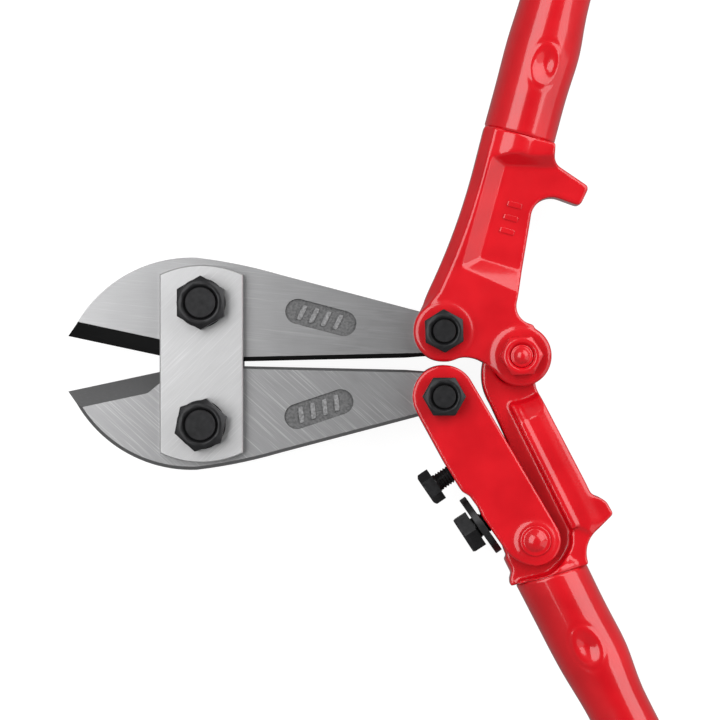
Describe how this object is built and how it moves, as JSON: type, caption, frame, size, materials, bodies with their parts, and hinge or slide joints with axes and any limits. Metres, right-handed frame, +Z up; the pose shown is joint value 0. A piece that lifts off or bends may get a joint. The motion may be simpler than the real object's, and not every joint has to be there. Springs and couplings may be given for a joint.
{
  "type": "bolt cutters",
  "caption": "Compound-action bolt cutters with short hooked steel jaws, link plates, red forged lever arms, an adjusting link and tubular handles, shown open.",
  "frame": {"origin": "centre of the bottom of the whole tool's box, lying open on its side", "axes": "+X from the jaw tips towards the handles, +Y across the tool towards the upper handle, +Z up through its thickness"},
  "size_m": [0.2252, 0.476, 0.0289],
  "materials": {
    "bright_steel": "ground with diagonal scratches",
    "jaw_steel": "brushed hardened steel",
    "black_oxide": "black oxide",
    "red_enamel": "gloss enamel",
    "grip_rubber": "matt moulded grip"
  },
  "bodies": {
    "head_frame": {"front_link_plate": "bright_steel", "back_link_plate": "bright_steel", "upper_jaw_bolt": "black_oxide", "upper_jaw_nut": "black_oxide", "lower_jaw_bolt": "black_oxide", "lower_jaw_nut": "black_oxide"},
    "upper_jaw": {"upper_jaw": "jaw_steel"},
    "lower_jaw": {"lower_jaw": "jaw_steel"},
    "upper_handle": {"upper_arm": "red_enamel", "upper_arm_bolt": "black_oxide", "upper_arm_nut": "black_oxide", "toggle_bolt": "red_enamel", "toggle_nut": "red_enamel", "upper_handle_tube": "red_enamel", "upper_grip": "grip_rubber"},
    "adjusting_link": {"adjusting_link": "red_enamel", "link_bolt": "black_oxide", "link_nut": "black_oxide", "link_rivet": "red_enamel"},
    "lower_handle": {"lower_arm": "red_enamel", "lower_handle_tube": "red_enamel", "lower_grip": "grip_rubber"},
    "adjusting_screw": {"adjusting_screw": "black_oxide"},
    "lock_screw": {"lock_screw": "black_oxide"},
    "lock_washer": {"lock_washer": "black_oxide"}
  },
  "joints": [
    {"name": "handle_close", "type": "hinge", "parent": "upper_jaw", "child": "upper_handle", "pos_m": [-0.01257, 0.00066, 0.0134], "axis": [0, 0, -1], "range_deg": [0, 77.04]},
    {"name": "upper_jaw_close", "type": "hinge", "parent": "head_frame", "child": "upper_jaw", "pos_m": [-0.07677, 0.00811, 0.0134], "axis": [0, 0, 1], "range_deg": [0, 12.04]},
    {"name": "lower_jaw_close", "type": "hinge", "parent": "head_frame", "child": "lower_jaw", "pos_m": [-0.07677, -0.02409, 0.0134], "axis": [0, 0, -1], "range_deg": [0, 12.04]},
    {"name": "link_swing", "type": "hinge", "parent": "lower_jaw", "child": "adjusting_link", "pos_m": [-0.01257, -0.01664, 0.0134], "axis": [0, 0, 1], "range_deg": [0, 63.54]},
    {"name": "link_adjust", "type": "hinge", "parent": "adjusting_link", "child": "lower_handle", "pos_m": [0.01163, -0.05479, 0.0134], "axis": [0, 0, -1], "range_deg": [0, 1.2]},
    {"name": "adjusting_screw_travel", "type": "slide", "parent": "adjusting_link", "child": "adjusting_screw", "axis": [0.8261, 0.5635, 0], "range_m": [0, 0.0005653]},
    {"name": "lock_screw_travel", "type": "slide", "parent": "lower_handle", "child": "lock_screw", "axis": [-0.8387, -0.5446, 0], "range_m": [0, 0.003]},
    {"name": "lock_washer_travel", "type": "slide", "parent": "lower_handle", "child": "lock_washer", "axis": [-0.8387, -0.5446, 0], "range_m": [0, 0.0021]}
  ],
  "couplings": [
    {"joint": "upper_jaw_close", "follows": "handle_close", "ratio": 0.15624},
    {"joint": "lower_jaw_close", "follows": "handle_close", "ratio": 0.15624},
    {"joint": "link_swing", "follows": "handle_close", "ratio": 0.82476},
    {"joint": "adjusting_screw_travel", "follows": "link_adjust", "m_per_rad": 0.026943},
    {"joint": "lock_washer_travel", "follows": "lock_screw_travel", "ratio": 0.7}
  ]
}
